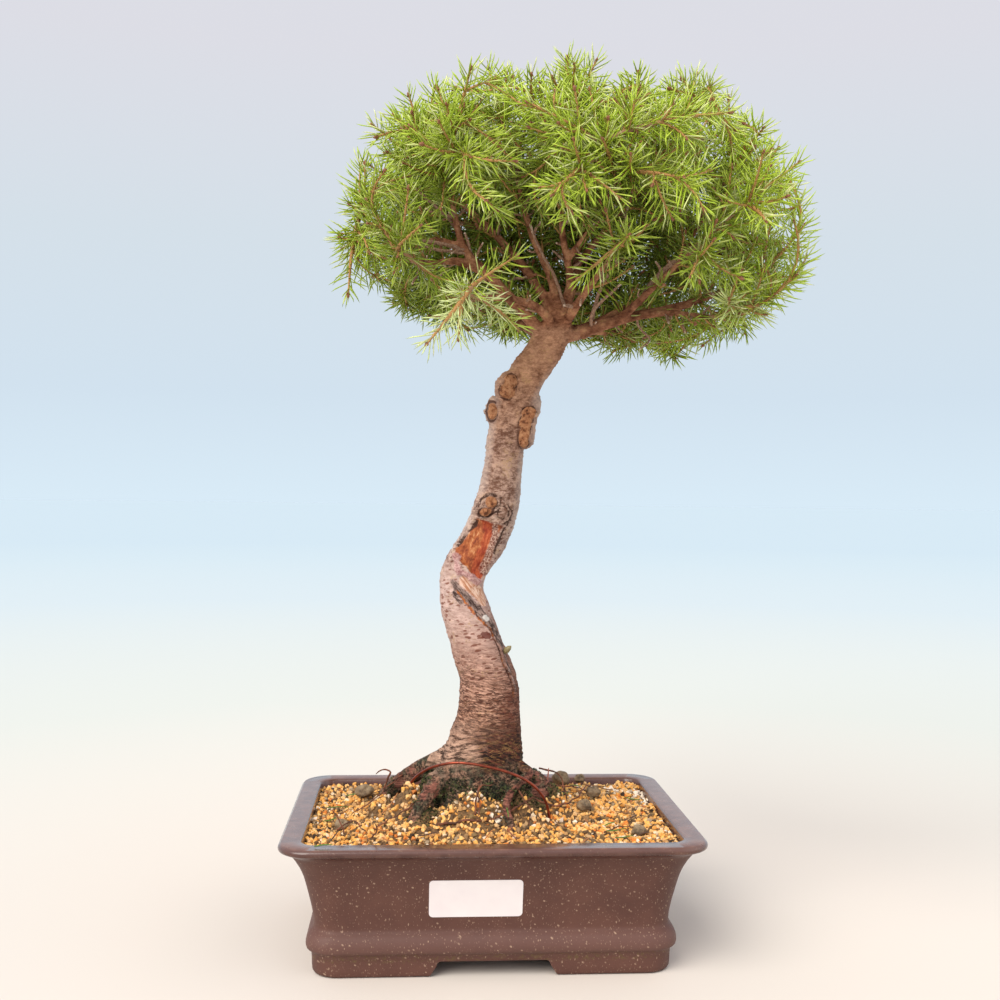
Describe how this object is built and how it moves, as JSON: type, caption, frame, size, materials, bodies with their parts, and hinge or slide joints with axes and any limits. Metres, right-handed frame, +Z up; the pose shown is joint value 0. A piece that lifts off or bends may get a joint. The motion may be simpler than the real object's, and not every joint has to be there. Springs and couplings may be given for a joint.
{
  "type": "spruce bonsai",
  "caption": "Spruce bonsai with a curved bare trunk and a domed crown, wired into a rectangular unglazed clay pot.",
  "frame": {"origin": "on the surface that the pot stands on, under the middle of the whole plant's outline", "axes": "+Z up along the tree's height, -Y out of the pot's long front wall, +X to the right seen from the front"},
  "size_m": [0.3024, 0.2461, 0.5155],
  "materials": {
    "unglazed_clay": "satin unglazed, flecked",
    "label_paper": "smooth white paper",
    "screen_plastic": "matte",
    "copper_wire": "tarnished copper",
    "ochre_gravel": "rough loose grains",
    "spruce_bark": "rough bark",
    "spruce_needles": "satin green needles on brown twigs"
  },
  "bodies": {
    "root": {"pot": "unglazed_clay", "label": "label_paper", "drain_screen_left": "screen_plastic", "drain_screen_right": "screen_plastic", "anchor_wire": "copper_wire", "soil": "ochre_gravel", "trunk": "spruce_bark", "spray_back_high": "spruce_needles", "spray_back_left": "spruce_needles", "spray_back_low": "spruce_needles", "spray_back_right": "spruce_needles", "spray_front_high": "spruce_needles", "spray_front_left": "spruce_needles", "spray_front_low": "spruce_needles", "spray_front_mid": "spruce_needles", "spray_front_right": "spruce_needles", "spray_leader": "spruce_needles", "spray_leader_right": "spruce_needles", "spray_left_back_low": "spruce_needles", "spray_left_back_mid": "spruce_needles", "spray_left_high_back": "spruce_needles", "spray_left_high_front": "spruce_needles", "spray_left_high_middle": "spruce_needles", "spray_left_low": "spruce_needles", "spray_left_tip": "spruce_needles", "spray_right_back": "spruce_needles", "spray_right_high": "spruce_needles", "spray_right_low": "spruce_needles", "spray_right_low_front": "spruce_needles", "spray_right_mid": "spruce_needles"}
  },
  "joints": []
}
